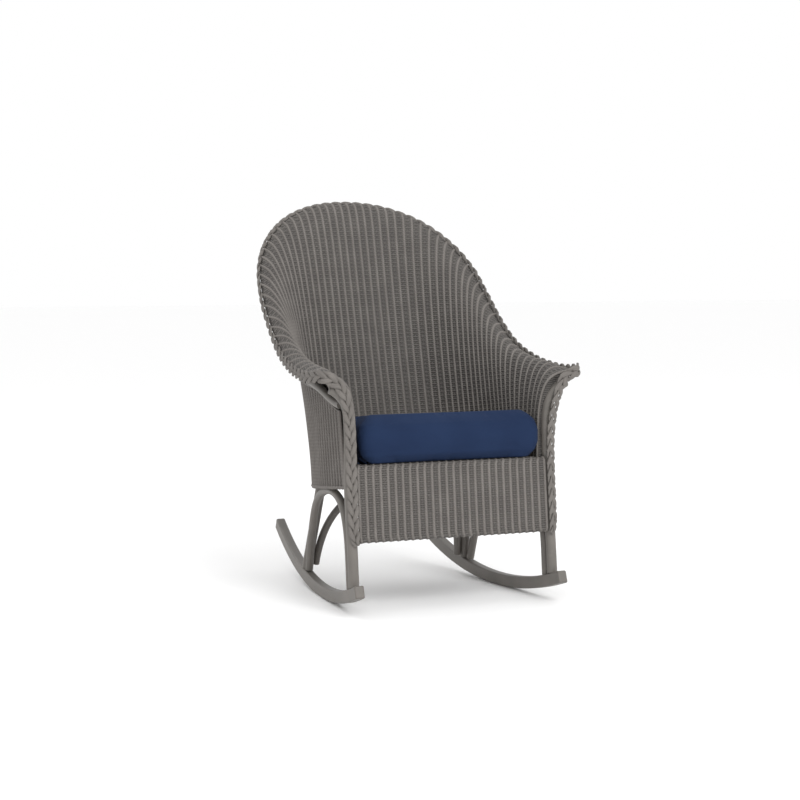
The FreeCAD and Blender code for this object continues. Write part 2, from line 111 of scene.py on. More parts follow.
def shellPoles():
    s = shell
    half = []
    for i in range(len(s["baseX"])):
        base = np.array([s["halfWidth"] * s["baseX"][i], s["depth"] * s["baseY"][i], s["baseZ"]])
        rimZ = s["armRim"] + (s["backRim"] - s["armRim"]) * s["rimZ"][i]
        rim = np.array([s["rimHalf"] * s["rimX"][i], s["rimDepth"] * s["rimY"][i], rimZ])
        lift = (rimZ - s["baseZ"]) * s["rise"][i]
        lower = base + np.array([0, lift * s["lean"][i], lift])
        upper = rim - np.array([s["rollOut"][i], s["rollBack"][i], s["rollUp"][i]]) * s["roll"]
        half.append(bezierRow(base, lower, upper, rim, np.linspace(0, 1, s["steps"] + 1)))
    return doubleRows(mirrorRows(np.array(half)))


def skirtPoles(grid):
    outer, normals = grid + gridNormals(grid) * shell["thick"], gridNormals(grid)
    middle = (len(shell["baseX"]) - 1) * 2
    half = []
    for i in range(len(skirt["x"])):
        row = []
        for t in np.linspace(0, 1, skirt["rows"]):
            z = skirt["bottomZ"] + (skirt["topZ"] * skirt["top"][i] - skirt["bottomZ"]) * t
            if i < skirt["firstFree"]:
                line, away = outer[middle + 2 * i], normals[middle + 2 * i]
                j = int(np.clip(np.searchsorted(line[:, 2], z) - 1, 0, len(line) - 2))
                f = np.clip((z - line[j, 2]) / (line[j + 1, 2] - line[j, 2]), 0, 1)
                spot = line[j] * (1 - f) + line[j + 1] * f
                spot[2] = z
                n = away[j] if z >= line[0, 2] else away[0]
                gap = skirt["standoff"] * (skirt["off"][i] * (1 - t) + skirt["off"][0] * t)
                row.append(spot + unit(np.array([n[0], n[1], 0.0])) * gap)
            else:
                row.append(np.array([skirt["halfWidth"] * skirt["x"][i] + skirt["flare"] * t,
                                     skirt["depth"] * skirt["y"][i], z]))
        half.append(row)
    return doubleRows(mirrorRows(np.array(half)))


def cubicBasis(count, params):
    spans = count - 3
    knots = np.concatenate([[0] * 3, np.arange(spans + 1), [spans] * 3]) / spans
    t = np.clip(np.asarray(params, float), 0, 1 - 1e-9)[:, None]
    b = ((t >= knots[None, :-1]) & (t < knots[None, 1:])).astype(float)
    for p in (1, 2, 3):
        left = knots[p:-1] - knots[:-p - 1]
        right = knots[p + 1:] - knots[1:-p]
        a = np.where(left > 0, (t - knots[:-p - 1]) / np.where(left > 0, left, 1), 0) * b[:, :-1]
        c = np.where(right > 0, (knots[p + 1:] - t) / np.where(right > 0, right, 1), 0) * b[:, 1:]
        b = a + c
    return b


def surfaceAt(poles, u, v):
    rows, columns = poles.shape[:2]
    return np.einsum("ai,bj,ijk->abk", cubicBasis(rows, u), cubicBasis(columns, v), poles)


def arcLength(points):
    return np.concatenate([[0], np.cumsum(np.linalg.norm(np.diff(points, axis=0), axis=1))])


lanesPerRib = 4
laneDetail = dict(dense=1601, samples=161, nudge=1e-3)


class Lanes:
    # evenly spaced lines up a sheet, half way through it, with their lengths and outward directions
    def __init__(self, poles, look):
        dense = np.linspace(0, 1, laneDetail["dense"])
        count = (look["ribs"] - 1) * lanesPerRib + 1
        run = arcLength(surfaceAt(poles, dense, [0.0])[:, 0])
        self.u = np.interp(np.linspace(0, run[-1], count), run, dense)
        v = np.linspace(0, 1, laneDetail["samples"])
        self.points = surfaceAt(poles, self.u, v)
        ahead = np.clip(self.u + laneDetail["nudge"], 0, 1)
        behind = np.clip(self.u - laneDetail["nudge"], 0, 1)
        across = surfaceAt(poles, ahead, v) - surfaceAt(poles, behind, v)
        self.normals = unit(np.cross(np.gradient(self.points, axis=1), across))
        self.points = self.points + self.normals * look["middle"]
        last = self.points[:, -1:]
        beyond = last + unit(last - self.points[:, -2:-1]) * look["reach"]
        self.points = np.concatenate([self.points, beyond], 1)
        self.normals = np.concatenate([self.normals, self.normals[:, -1:]], 1)
        self.measure()

    def measure(self):
        self.arcs = np.array([arcLength(line) for line in self.points])
        self.lengths = self.arcs[:, -1]

    def widen(self, front):
        # one more rib's lanes at each end, where front gives the farthest from the last lane
        for side in (0, -1):
            line, out = self.points[side], self.normals[side]
            goal = front(line)
            shares = [(k + 1) / lanesPerRib for k in range(lanesPerRib)]
            more = np.array([line + (goal - line) * share for share in shares])
            outs = np.repeat(out[None], lanesPerRib, 0)
            if side == 0:
                self.points = np.concatenate([more[::-1], self.points])
                self.normals = np.concatenate([outs, self.normals])
            else:
                self.points = np.concatenate([self.points, more])
                self.normals = np.concatenate([self.normals, outs])
        self.measure()

    def at(self, lane, distance):
        arc = self.arcs[lane]
        spot = np.array([np.interp(distance, arc, self.points[lane][:, k]) for k in range(3)]).T
        out = np.array([np.interp(distance, arc, self.normals[lane][:, k]) for k in range(3)]).T
        return spot, unit(out)


class Signal:
    # one shader value; the usual operators make the matching maths nodes
    def __init__(self, tree, socket):
        self.tree = tree
        self.socket = socket

    def math(self, operation, *others):
        node = self.tree.nodes.new("ShaderNodeMath")
        node.operation = operation
        for place, value in enumerate((self,) + others):
            feed(self.tree, value, node.inputs[place])
        return Signal(self.tree, node.outputs[0])

    def __add__(self, other):
        return self.math("ADD", other)

    def __mul__(self, other):
        return self.math("MULTIPLY", other)

    def __sub__(self, other):
        return self.math("SUBTRACT", other)

    def __rsub__(self, other):
        return self.math("MULTIPLY_ADD", -1.0, other)

    __radd__ = __add__
    __rmul__ = __mul__

    def wave(self):
        return self.math("SINE") * 0.5 + 0.5

    def within(self, low, high):
        node = makeNode(self.tree, "ShaderNodeMapRange", {"interpolation_type": "SMOOTHSTEP"},
                        {"Value": self, "From Min": low, "From Max": high})
        return Signal(self.tree, node.outputs["Result"])


def feed(tree, value, socket):
    if isinstance(value, Signal):
        value = value.socket
    if isinstance(value, bpy.types.NodeSocket):
        tree.links.new(value, socket)
    else:
        socket.default_value = value


def makeNode(tree, kind, settings=None, inputs=None):
    node = tree.nodes.new(kind)
    for name, value in (settings or {}).items():
        setattr(node, name, value)
    for name, value in (inputs or {}).items():
        feed(tree, value, node.inputs[name])
    return node


fullTurn = 6.2832


def linear(red, green, blue):
    def one(c):
        c = c / 255
        return c / 12.92 if c <= 0.04045 else ((c + 0.055) / 1.055) ** 2.4
    return (one(red), one(green), one(blue), 1.0)


class Shader:
    def __init__(self, name):
        self.material = bpy.data.materials.new(name)
        self.material.use_nodes = True
        self.tree = self.material.node_tree
        self.tree.nodes.clear()
        self.surface = makeNode(self.tree, "ShaderNodeBsdfPrincipled")
        output = makeNode(self.tree, "ShaderNodeOutputMaterial")
        self.tree.links.new(self.surface.outputs[0], output.inputs["Surface"])
        self.place = makeNode(self.tree, "ShaderNodeTexCoord").outputs["Object"]

    def node(self, kind, settings=None, inputs=None, output=0):
        return Signal(self.tree, makeNode(self.tree, kind, settings, inputs).outputs[output])

    def noise(self, scale, detail=3.0, where=None):
        inputs = {"Vector": where or self.place, "Scale": scale, "Detail": detail}
        return self.node("ShaderNodeTexNoise", None, inputs)

    def part(self, vector, axis):
        return self.node("ShaderNodeSeparateXYZ", None, {"Vector": vector}, axis)

    def mix(self, share, first, second):
        node = makeNode(self.tree, "ShaderNodeMix", {"data_type": "RGBA"})
        feed(self.tree, share, node.inputs[0])
        feed(self.tree, first, node.inputs[6])
        feed(self.tree, second, node.inputs[7])
        return Signal(self.tree, node.outputs[2])

    def bump(self, height, distance, strength):
        inputs = {"Height": height, "Distance": distance, "Strength": strength}
        return self.node("ShaderNodeBump", None, inputs)

    def finish(self, **inputs):
        for name, value in inputs.items():
            feed(self.tree, value, self.surface.inputs[name.replace("_", " ")])
        return self.material


def polePaint(look):
    # satin paint with faint streaks, small pits and paler rubbed spots
    s = Shader("polePaint")
    broad, grain = s.noise(look["mottle"]), s.noise(look["grain"], 4.0)
    rubbed = s.noise(look["rub"], 5.0).within(0.62, 0.74)
    tone = s.mix(broad.within(0.3, 0.7), linear(*look["dark"]), linear(*look["light"]))
    tone = s.mix(rubbed * 0.35, tone, linear(*look["worn"]))
    rough = look["rough"] + broad * 0.12 + grain * 0.1 + rubbed * 0.1
    height = grain * 0.5 + rubbed * -0.3
    return s.finish(Base_Color=tone, Roughness=rough, Normal=s.bump(height, look["relief"], 0.4))


def fibreTwist(look):
    # twisted fibre cord: strands wind round it, each length a little different in tone, and the grooves
    # between strands get painted shade
    s = Shader(look["name"])
    around = s.node("ShaderNodeAttribute", {"attribute_name": "around"}, None, "Vector")
    along = s.node("ShaderNodeAttribute", {"attribute_name": "along"}, None, "Fac")
    angle = s.part(around, 1).math("ARCTAN2", s.part(around, 0))
    strands = (angle * look["strands"] + along * (fullTurn / look["lay"])).wave()
    patches, fine = s.noise(look["patch"]), s.noise(look["fine"], 4.0)
    tone = s.mix(patches.within(0.25, 0.75), linear(*look["dark"]), linear(*look["light"]))
    # painted shade: the grooves between the twisted strands are pulled toward the shade colour, with fine
    # random speckle as well
    tone = s.mix((1.0 - strands) * 0.3 + fine * 0.25, tone, linear(*look["shade"]))
    height = strands + fine * 0.5
    rough = look["rough"] + fine * 0.2 - strands * 0.08
    return s.finish(Base_Color=tone, Roughness=rough, Normal=s.bump(height, look["relief"], 0.7))


def cushionCloth(look):
    # plain weave: threads cross on the top by x and y, on the sides by x or y and height
    s = Shader("cushionCloth")
    normal = s.node("ShaderNodeTexCoord", None, None, "Normal")
    up = s.part(normal, 2).math("ABSOLUTE").within(0.45, 0.75)
    front = s.part(normal, 1).math("ABSOLUTE").within(0.5, 0.7)
    turn = fullTurn / look["thread"]
    x, y, z = [s.part(s.place, axis) * turn for axis in range(3)]
    first = x * (up + (1.0 - up) * front) + y * ((1.0 - up) * (1.0 - front))
    second = y * up + z * (1.0 - up)
    weave = first.math("SINE") * second.math("SINE") * 0.5 + 0.5
    slub = s.noise(look["slub"], 4.0)
    wash = s.noise(look["wash"])
    tone = s.mix(wash.within(0.3, 0.7), linear(*look["dark"]), linear(*look["light"]))
    tone = s.mix(weave * 0.35 + slub * 0.3, tone, linear(*look["threadTone"]))
    rough = look["rough"] + slub * 0.12
    s.surface.inputs["Sheen Weight"].default_value = look["sheen"]
    s.surface.inputs["Sheen Roughness"].default_value = look["sheenRough"]
    s.surface.inputs["Specular IOR Level"].default_value = look["gloss"]
    return s.finish(Base_Color=tone, Roughness=rough, Normal=s.bump(weave + slub, look["relief"], 0.6))


def slatPaint(look):
    s = Shader("slatPaint")
    stretched = s.node("ShaderNodeMapping", None, {"Vector": s.place, "Scale": (1.0, 14.0, 14.0)})
    grain = s.noise(look["grain"], 5.0, stretched)
    broad = s.noise(look["mottle"])
    tone = s.mix(grain.within(0.35, 0.65), linear(*look["dark"]), linear(*look["light"]))
    rough = look["rough"] + broad * 0.2
    return s.finish(Base_Color=tone, Roughness=rough, Normal=s.bump(grain, look["relief"], 0.5))


def zincSteel(look):
    s = Shader("zincSteel")
    spangle = s.node("ShaderNodeTexVoronoi", None, {"Vector": s.place, "Scale": look["spangle"]}, "Color")
    fine = s.noise(look["fine"], 4.0)
    tone = s.mix(s.part(spangle, 0), linear(*look["dark"]), linear(*look["light"]))
    rough = look["rough"] + fine * 0.2
    return s.finish(Base_Color=tone, Metallic=look["metal"], Roughness=rough,
                    Normal=s.bump(fine, look["relief"], 0.4))


def floorPaper(look):
    s = Shader("floorPaper")
    rough = look["rough"] + s.noise(look["mottle"]) * 0.1
    return s.finish(Base_Color=linear(*look["tone"]), Roughness=rough)


def threadGroup():
    # lines become tubes: "outward" turns the profile, "thick" is its radius
    tree = bpy.data.node_groups.new("threadTubes", "GeometryNodeTree")
    ports = tree.interface
    ports.new_socket(name="Geometry", in_out="INPUT", socket_type="NodeSocketGeometry")
    ports.new_socket(name="Sides", in_out="INPUT", socket_type="NodeSocketInt").default_value = 6
    ports.new_socket(name="Flatness", in_out="INPUT", socket_type="NodeSocketFloat").default_value = 1.0
    ports.new_socket(name="Material", in_out="INPUT", socket_type="NodeSocketMaterial")
    ports.new_socket(name="Geometry", in_out="OUTPUT", socket_type="NodeSocketGeometry")
    start = makeNode(tree, "NodeGroupInput").outputs
    curve = makeNode(tree, "GeometryNodeMeshToCurve", None, {"Mesh": start["Geometry"]})
    outward = makeNode(tree, "GeometryNodeInputNamedAttribute", {"data_type": "FLOAT_VECTOR"},
                       {"Name": "outward"})
    turned = makeNode(tree, "GeometryNodeSetCurveNormal", {"mode": "FREE"},
                      {"Curve": curve.outputs[0], "Normal": outward.outputs[0]})
    run = makeNode(tree, "GeometryNodeSplineParameter")
    marked = makeNode(tree, "GeometryNodeStoreNamedAttribute", {"data_type": "FLOAT", "domain": "POINT"},
                      {"Geometry": turned.outputs[0], "Name": "along", "Value": run.outputs["Length"]})
    circle = makeNode(tree, "GeometryNodeCurvePrimitiveCircle", None,
                      {"Resolution": start["Sides"], "Radius": 1.0})
    place = makeNode(tree, "GeometryNodeInputPosition")
    ring = makeNode(tree, "GeometryNodeStoreNamedAttribute", {"data_type": "FLOAT_VECTOR", "domain": "POINT"},
                    {"Geometry": circle.outputs[0], "Name": "around", "Value": place.outputs[0]})
    shape = makeNode(tree, "ShaderNodeCombineXYZ", None, {"X": start["Flatness"], "Y": 1.0, "Z": 1.0})
    flat = makeNode(tree, "GeometryNodeTransform", None,
                    {"Geometry": ring.outputs[0], "Scale": shape.outputs[0]})
    thick = makeNode(tree, "GeometryNodeInputNamedAttribute", {"data_type": "FLOAT"}, {"Name": "thick"})
    tube = makeNode(tree, "GeometryNodeCurveToMesh", None,
                    {"Curve": marked.outputs[0], "Profile Curve": flat.outputs[0],
                     "Scale": thick.outputs[0], "Fill Caps": True})
    smooth = makeNode(tree, "GeometryNodeSetShadeSmooth", None, {"Geometry": tube.outputs[0]})
    solid = makeNode(tree, "GeometryNodeRealizeInstances", None, {"Geometry": smooth.outputs[0]})
    painted = makeNode(tree, "GeometryNodeSetMaterial", None,
                       {"Geometry": solid.outputs[0], "Material": start["Material"]})
    tree.links.new(painted.outputs[0], makeNode(tree, "NodeGroupOutput").inputs[0])
    return tree


threads = threadGroup()


def ridePiece(piece, body, replaced=()):
    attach(piece, body)
    if replaced:
        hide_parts(*replaced)


def makePiece(name, mesh):
    piece = bpy.data.objects.new(name, mesh)
    bpy.context.scene.collection.objects.link(piece)
    return piece


def threadPiece(name, lines, look, material, replaced=()):
    # lines: (points, outward) pairs, or (points, outward, radius) with a radius at each point
    points, outward, thick, edges = [], [], [], []
    for line in lines:
        first = len(points)
        points.extend(line[0])
        outward.extend(line[1])
        thick.extend(line[2] if len(line) > 2 else [look["radius"]] * len(line[0]))
        edges.extend((first + k, first + k + 1) for k in range(len(line[0]) - 1))
    mesh = bpy.data.meshes.new(name)
    mesh.from_pydata(toRow(np.array(points)).tolist(), edges, [])
    turned = toRow(np.array(points) + np.array(outward)) - toRow(np.array(points))
    mesh.attributes.new("outward", "FLOAT_VECTOR", "POINT").data.foreach_set("vector", turned.ravel())
    mesh.attributes.new("thick", "FLOAT", "POINT").data.foreach_set("value", thick)
    piece = makePiece(name, mesh)
    modifier = piece.modifiers.new("threads", "NODES")
    modifier.node_group = threads
    values = {"Sides": look["sides"], "Flatness": look["flat"], "Material": material}
    for item in threads.interface.items_tree:
        if item.in_out == "INPUT" and item.name in values:
            modifier[item.identifier] = values[item.name]
    graph = bpy.context.evaluated_depsgraph_get()
    finished = piece.evaluated_get(graph)
    baked = bpy.data.meshes.new_from_object(finished, preserve_all_data_layers=True, depsgraph=graph)
    piece.modifiers.clear()
    piece.data = baked
    baked.name = name
    bpy.data.meshes.remove(mesh)
    print(name, len(baked.polygons), "faces")
    ridePiece(piece, "chair", replaced)


def sheetPiece(name, lanes, look, material, replaced=()):
    # closed thin sheet through the lanes, a dark liner behind the threads: painted shade that fills the
    # weave's holes
    near, far = [], []
    for k in range(len(lanes.lengths)):
        run = np.linspace(look["trim"], lanes.lengths[k] - look["trim"], look["samples"])
        spot, out = lanes.at(k, run)
        near.append(spot - out * look["thick"] / 2)
        far.append(spot + out * look["thick"] / 2)
    near, far = np.array(near), np.array(far)
    rows, columns = near.shape[:2]
    count = rows * columns
    faces = []
    for i in range(rows - 1):
        for j in range(columns - 1):
            a, b = i * columns + j, (i + 1) * columns + j
            faces.append((a, b, b + 1, a + 1))
            faces.append((a + count, a + 1 + count, b + 1 + count, b + count))
    border = [(0, j) for j in range(columns)] + [(i, columns - 1) for i in range(1, rows)]
    border += [(rows - 1, j) for j in range(columns - 2, -1, -1)] + [(i, 0) for i in range(rows - 2, 0, -1)]
    border = [i * columns + j for i, j in border]
    for a, b in zip(border, border[1:] + border[:1]):
        faces.append((a, b, b + count, a + count))
    mesh = bpy.data.meshes.new(name)
    mesh.from_pydata(toRow(np.concatenate([near.reshape(-1, 3), far.reshape(-1, 3)])).tolist(), [], faces)
    mesh.materials.append(material)
    mesh.update()
    turnOutward(mesh)
    ridePiece(makePiece(name, mesh), "chair", replaced)


def turnOutward(mesh):
    work = bmesh.new()
    work.from_mesh(mesh)
    bmesh.ops.recalc_face_normals(work, faces=work.faces)
    work.to_mesh(mesh)
    work.free()
    mesh.shade_smooth()


def ribLines(lanes, look):
    # round ribs up the sheet, where a skirt's ribs start with a slanting tuck from the next one
    lines = []
    for k in range(0, len(lanes.lengths), lanesPerRib):
        run = np.arange(0, lanes.lengths[k] - look["short"] - look["step"] / 2, look["step"])
        spot, out = lanes.at(k, np.append(run, lanes.lengths[k] - look["short"]))
        if look["tuck"]:
            beside = min(k + lanesPerRib, len(lanes.lengths) - 1)
            low, lowOut = lanes.at(beside, np.array([0.0]))
            down = np.array([0.0, 0.0, look["tuck"]])
            first = low[0] + lowOut[0] * look["tuckOut"] - down * look["tuckDrop"]
            start = [first, (low[0] + spot[0]) / 2 - down]
            spot = np.concatenate([start, spot])
            out = np.concatenate([[lowOut[0], out[0]], out])
        lines.append((spot, out))
    return lines


def warpLines(lanes, look):
    lines = []
    for k in range(lanesPerRib // 2, len(lanes.lengths), lanesPerRib):
        run = np.arange(look["margin"], lanes.lengths[k] - look["margin"], look["step"] * look["warpStep"])
        lines.append(lanes.at(k, run))
    return lines


def weftLines(lanes, look):
    # one line for each unbroken run of each row, dipping in and out at the thin warps
    lines = []
    for j in range(int(lanes.lengths.max() / look["pitch"])):
        d = look["margin"] + j * look["pitch"]
        inside = lanes.lengths - look["margin"] > d
        k = 0
        while k < len(inside):
            if not inside[k]:
                k += 1
                continue
            first = k
            while k < len(inside) and inside[k]:
                k += 1
            if k - first >= lanesPerRib:
                points, outs = [], []
                for lane in range(first, k):
                    spot, out = lanes.at(lane, np.array([d]))
                    atWarp = lane % lanesPerRib == lanesPerRib // 2
                    push = look["sway"] * (1 if j % 2 else -1) if atWarp else 0
                    points.append(spot[0] + out[0] * push)
                    outs.append(out[0])
                lines.append((np.array(points), np.array(outs)))
    return lines


def between(rows, t):
    # smooth value at a fractional place in a list of points
    i = min(int(t), len(rows) - 2)
    f = t - i
    p, q, r, s = rows[max(i - 1, 0)], rows[i], rows[i + 1], rows[min(i + 2, len(rows) - 1)]
    a, b, c = (r - p) * f, (p * 2 - q * 5 + r * 4 - s) * f ** 2, (q * 3 - p - r * 3 + s) * f ** 3
    return q + (a + b + c) / 2


def braidPlaces():
    # middle line of the braid and its facing, on the right half, from the back to the tuck
    s, b = shell, braid
    places, facings = [], []
    for i in range(len(s["rimX"])):
        out, rear = s["rollOut"][i], s["rollBack"][i]
        if i == len(s["rimX"]) - 1:
            rear = -out / b["tipTurn"]
        face = unit(np.array([out, rear, 0.0]))
        drop = b["drop"] * (1 + max(s["rimZ"][i], 0)) / 2
        z = s["armRim"] + (s["backRim"] - s["armRim"]) * s["rimZ"][i] - drop
        rim = np.array([s["rimHalf"] * s["rimX"][i], s["rimDepth"] * s["rimY"][i], z])
        places.append(rim + face * (b["thick"] / 2 + b["gap"]) * b["standoff"].get(i, 1))
        facings.append(face)
    overhang = s["rimHalf"] * s["rimX"][-1] - post["half"]
    for x, y, z in zip(b["postX"], b["postY"], b["postZ"]):
        places.append(np.array([post["half"] + overhang * x, s["armRim"] * y, s["armRim"] * z]))
        facings.append(unit(np.array([b["turn"], -1.0, 0.0])))
    return np.array(places), np.array(facings)


def braidLines(places, facings, look):
    # three flat strands that cross over and under each other along the whole line
    coarse = np.linspace(0, len(places) - 1, look["coarse"])
    path = np.array([between(places, t) for t in coarse])
    run = arcLength(path)
    steps = np.linspace(0, run[-1], int(run[-1] / look["step"]) + 1)
    times = np.interp(steps, run, coarse)
    centre = np.array([between(places, t) for t in times])
    along = unit(np.gradient(centre, axis=0))
    face = np.array([between(facings, t) for t in times])
    across = unit(np.cross(along, face))
    out = unit(np.cross(across, along))
    ends = np.clip(np.minimum(steps, run[-1] - steps) / look["taper"], 0, 1)
    close = look["endShare"] + (1 - look["endShare"]) * ends
    tuck = len(braid["postX"])
    nearest = np.minimum(abs(times - tuck), abs(times - (len(places) - 1 - tuck)))
    wide = 1 + look["armWide"] * np.exp(-(nearest / look["armReach"]) ** 2)
    close = close * wide
    lines = []
    for strand in range(3):
        phase = 2 * np.pi * (steps / look["lay"] + strand / 3)
        side = look["sweep"] * np.sin(phase) * close
        height = look["lift"] * np.sin(2 * phase)
        roll = look["roll"] * np.cos(2 * phase) * np.sign(np.cos(phase))
        facingOut = unit(out - across * roll[:, None])
        spots = centre + across * side[:, None] + out * height[:, None]
        lines.append((spots, facingOut, look["radius"] * close))
    return lines


def apronPath():
    # y, z and outward direction, over the top rail, down the front and under the bottom rail
    a = apron
    path = []
    for angle in np.radians(np.linspace(5, 175, a["turnSteps"])):
        r = a["wrap"] + (a["reach"] - a["wrap"]) * max(0, math.degrees(angle) - 90) / 90
        path.append([rails["y"] + math.cos(angle) * r, rails["topZ"] + math.sin(angle) * r,
                     math.cos(angle), math.sin(angle)])
    for z in np.linspace(rails["topZ"] - a["hem"], rails["bottomZ"] + a["hem"], a["faceSteps"]):
        path.append([rails["y"] - a["reach"], z, -1.0, 0.0])
    for angle in np.radians(np.linspace(185, 355, a["turnSteps"])):
        r = a["wrap"] + (a["reach"] - a["wrap"]) * max(0, 270 - math.degrees(angle)) / 90
        path.append([rails["y"] + math.cos(angle) * r, rails["bottomZ"] + math.sin(angle) * r,
                     math.cos(angle), math.sin(angle)])
    return np.array(path)


def apronLines():
    # ribs lean sideways where they wrap over the rails, rows of wefts run across from post to post
    a = apron
    path = apronPath()
    reach = a["half"] - a["edge"]
    gap = 2 * reach / (a["ribs"] - 1)
    flat = path[:, :2]
    turned = np.stack([np.zeros(len(path)), path[:, 2], path[:, 3]], -1)
    slide = np.where(flat[:, 1] > rails["topZ"], flat[:, 1] - rails["topZ"], 0)
    slide = slide + np.where(flat[:, 0] > rails["y"], flat[:, 0] - rails["y"], 0)
    slide = slide + np.where(flat[:, 1] < rails["bottomZ"], rails["bottomZ"] - flat[:, 1], 0)
    ribs, warps, wefts = [], [], []
    for k in range(a["ribs"]):
        x = -reach + gap * k
        shifted = np.clip(x + slide * a["slant"], -reach, reach)
        ribs.append((np.stack([shifted, flat[:, 0], flat[:, 1]], -1), turned))
        if k < a["ribs"] - 1:
            shifted = np.clip(shifted + gap / 2, -reach, reach)
            warps.append((np.stack([shifted, flat[:, 0], flat[:, 1]], -1), turned))
    run = arcLength(flat)
    fine = (a["ribs"] - 1) * lanesPerRib + 1
    atWarps = np.arange(fine) % lanesPerRib == lanesPerRib // 2
    x = np.linspace(-reach, reach, fine)
    for j, d in enumerate(np.arange(a["pitch"], run[-1], a["pitch"])):
        y, z, outY, outZ = [np.interp(d, run, path[:, k]) for k in range(4)]
        push = np.where(atWarps, a["sway"] * (1 if j % 2 else -1), 0)
        points = np.stack([x, y + push * outY, z + push * outZ], -1)
        wefts.append((points, np.tile([0.0, outY, outZ], (fine, 1))))
    return ribs, warps, wefts


def postLine(line):
    # the front post's middle line on the side and at the heights of the last lane
    overhang = shell["rimHalf"] * shell["rimX"][-1] - post["half"]
    heights = np.array(post["z"]) * shell["armRim"]
    x = np.interp(line[:, 2], heights, post["half"] + overhang * np.array(post["lean"]))
    y = np.interp(line[:, 2], heights, np.array(post["y"]) * shell["armRim"])
    return np.stack([x * np.sign(line[0, 0]), y, line[:, 2]], -1)


def boxSheet(name, low, high, material, replaced):
    spans = list(zip(low, high))
    corners = np.array([[x, y, z] for x in spans[0] for y in spans[1] for z in spans[2]])
    mesh = bpy.data.meshes.new(name)
    faces = [(0, 1, 3, 2), (4, 6, 7, 5), (0, 4, 5, 1), (2, 3, 7, 6), (0, 2, 6, 4), (1, 5, 7, 3)]
    mesh.from_pydata(toRow(corners).tolist(), [], faces)
    mesh.materials.append(material)
    turnOutward(mesh)
    mesh.shade_flat()
    ridePiece(makePiece(name, mesh), "chair", replaced)


def cushionRing(heightShare, insetShare, shrink):
    c = cushion
    inset = c["thick"] * insetShare + shrink
    z = c["bottomZ"] + shrink + (c["thick"] - 2 * shrink) * heightShare
    front, rear = c["frontY"] + inset, c["frontY"] + c["depth"] - inset
    half, rearHalf = c["width"] / 2 - inset, c["rearWidth"] / 2 - inset
    r, rearR = c["corner"] - inset * c["cornerShare"], c["rearCorner"] - inset
    ear = half + c["ear"]
    points = []
    corners = [(ear, front, r, -90), (rearHalf, rear, rearR, 0), (-rearHalf, rear, rearR, 90),
               (-ear, front, r, 180)]
    for x, y, radius, startAngle in corners:
        cx, cy = x - math.copysign(radius, x), y + (radius if y == front else -radius)
        for a in np.radians(np.linspace(startAngle, startAngle + 90, c["cornerSteps"])):
            points.append([cx + math.cos(a) * radius, cy + math.sin(a) * radius, z])
        if (x, y) == (ear, front) or (x, y) == (-rearHalf, rear):
            side = [[half, c["neckY"], z], [half, c["neckY"] + c["neckRun"], z],
                    [(half + rearHalf) / 2, rear * c["waist"], z]]
            points.extend(side if x > 0 else [[-px, py, pz] for px, py, pz in side[::-1]])
    return points


def toUpright(points):
    y = points[:, 1] - stance["contactY"] - stance["shiftY"]
    z = points[:, 2] - stance["radius"]
    c, s = math.cos(stance["lean"]), math.sin(stance["lean"])
    return np.stack([points[:, 0], stance["contactY"] + y * c - z * s, stance["radius"] + y * s + z * c], -1)


def makeCushion(material):
    # a slightly small shape swells under pressure, then is held within the cushion's own limits
    c = cushion
    rings = [cushionRing(h, i, c["shrink"]) for h, i in zip(c["heights"], c["insets"])]
    count = len(rings[0])
    faces = [tuple(range(count))[::-1], tuple(range(count * (len(rings) - 1), count * len(rings)))]
    for level in range(len(rings) - 1):
        for k in range(count):
            a, b = level * count + k, level * count + (k + 1) % count
            faces.append((a, b, b + count, a + count))
    mesh = bpy.data.meshes.new("cushion_pad")
    mesh.from_pydata(toRow(np.array(rings).reshape(-1, 3)).tolist(), [], faces)
    turnOutward(mesh)
    pad = makePiece("cushion_pad", mesh)
    bpy.context.view_layer.objects.active = pad
    pad.select_set(True)
    remesh = pad.modifiers.new("even", "REMESH")
    remesh.mode = "VOXEL"
    remesh.voxel_size = c["voxel"]
    bpy.ops.object.modifier_apply(modifier=remesh.name)
    rest = np.array([v.co[:] for v in pad.data.vertices])
    cloth = pad.modifiers.new("swell", "CLOTH")
    cloth.settings.use_pressure = True
    cloth.settings.uniform_pressure_force = c["pressure"]
    cloth.settings.effector_weights.gravity = 0
    scene = bpy.context.scene
    for number in range(c["frames"]):
        scene.frame_set(number + 1)
    bpy.ops.object.modifier_apply(modifier=cloth.name)
    scene.frame_set(1)
    swollen = np.array([v.co[:] for v in pad.data.vertices])
    move = swollen - rest
    size = np.linalg.norm(move, axis=1, keepdims=True)
    swollen = rest + move * np.minimum(1, c["cap"] / np.maximum(size, 1e-9))
    up = toUpright(swollen)
    up[:, 2] = np.clip(up[:, 2], c["bottomZ"], c["bottomZ"] + c["thick"] + c["topRoom"])
    half = c["width"] / 2 + c["ear"] * np.clip((c["neckY"] - up[:, 1]) / c["earFade"], 0, 1)
    up[:, 0] = np.clip(up[:, 0], -half, half)
    up[:, 1] = np.clip(up[:, 1], c["frontY"] - c["frontRoom"], c["frontY"] + c["depth"] + c["rearRoom"])
    pad.data.vertices.foreach_set("co", toRow(up).ravel())
    pad.data.update()
    soft = pad.modifiers.new("round", "SUBSURF")
    soft.levels = soft.render_levels = 1
    pad.data.materials.clear()
    pad.data.materials.append(material)
    pad.data.shade_smooth()
    ridePiece(pad, "cushion", ["seat_cushion"])


